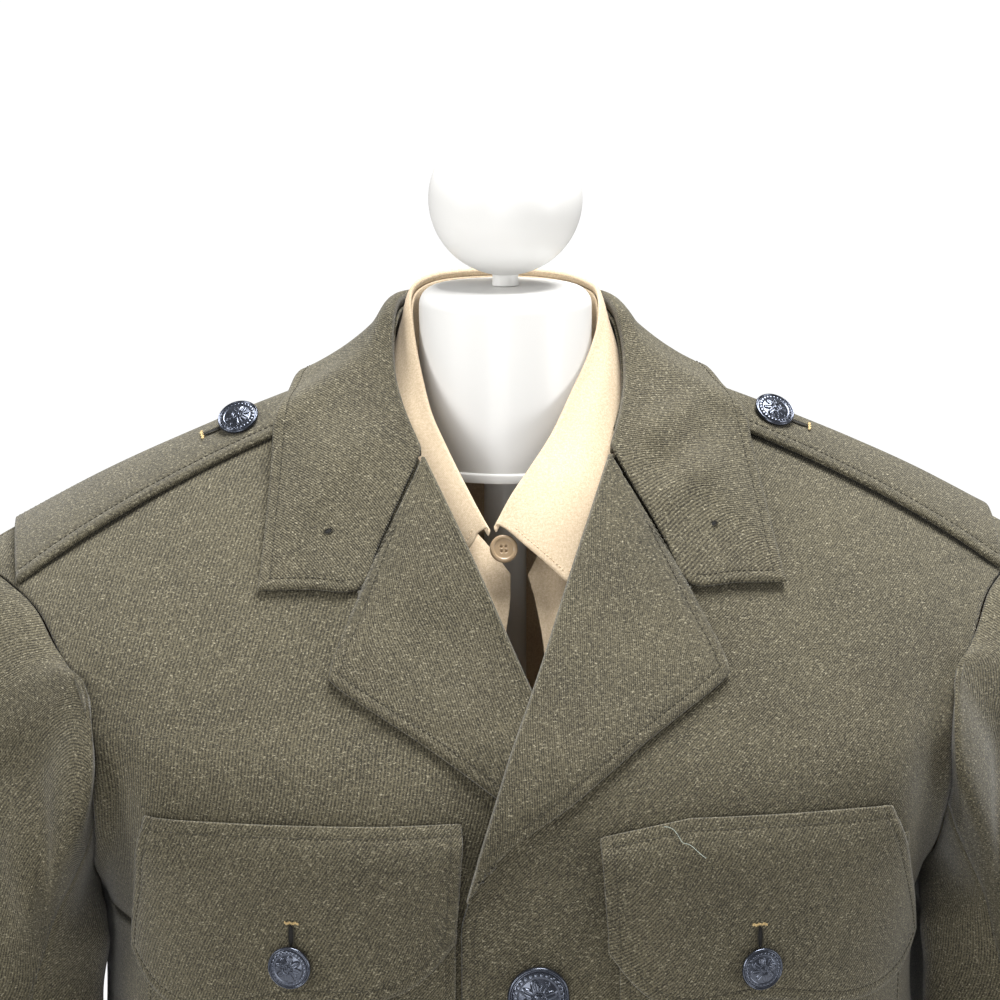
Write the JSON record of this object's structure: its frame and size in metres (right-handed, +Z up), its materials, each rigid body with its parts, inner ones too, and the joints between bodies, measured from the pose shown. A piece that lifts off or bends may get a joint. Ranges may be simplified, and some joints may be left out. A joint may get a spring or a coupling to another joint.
{
  "type": "dress uniform coat and shirt on a display stand",
  "caption": "Service coat with peaked lapels, shoulder straps and flapped breast pockets over an open-collared shirt, hung on a limbless display stand.",
  "frame": {"origin": "centre of the underside of the round stand base, on the floor", "axes": "+Z up; the coat front faces -Y; the wearer's left is +X"},
  "size_m": [0.564, 0.3039, 1.4865],
  "materials": {
    "coat_wool": "matte wool twill, olive grey-green",
    "shirt_poplin": "matte cotton poplin, khaki",
    "button_gunmetal": "dark gunmetal with a soft gloss",
    "stand_white": "satin white lacquer"
  },
  "bodies": {
    "root": {"coat_front_left": "coat_wool", "coat_front_right": "coat_wool", "coat_back_left": "coat_wool", "coat_back_right": "coat_wool", "coat_top_sleeve_left": "coat_wool", "coat_top_sleeve_right": "coat_wool", "coat_under_sleeve_left": "coat_wool", "coat_under_sleeve_right": "coat_wool", "lapel_left": "coat_wool", "lapel_right": "coat_wool", "collar_fall": "coat_wool", "collar_stand": "coat_wool", "shoulder_strap_left": "coat_wool", "shoulder_strap_right": "coat_wool", "pocket_left": "coat_wool", "pocket_right": "coat_wool", "pocket_flap_left": "coat_wool", "pocket_flap_right": "coat_wool", "front_button_1": "button_gunmetal", "front_button_2": "button_gunmetal", "front_button_3": "button_gunmetal", "front_button_4": "button_gunmetal", "pocket_button_left": "button_gunmetal", "pocket_button_right": "button_gunmetal", "strap_button_left": "button_gunmetal", "strap_button_right": "button_gunmetal", "shirt_front_left": "shirt_poplin", "shirt_front_right": "shirt_poplin", "shirt_back": "shirt_poplin", "shirt_sleeve_left": "shirt_poplin", "shirt_sleeve_right": "shirt_poplin", "shirt_collar": "shirt_poplin", "shirt_band": "shirt_poplin", "stand_base": "stand_white", "stand_post": "stand_white", "neck_block": "stand_white", "ball_finial": "stand_white", "shoulder_form_left": "stand_white", "shoulder_form_right": "stand_white"}
  },
  "joints": []
}
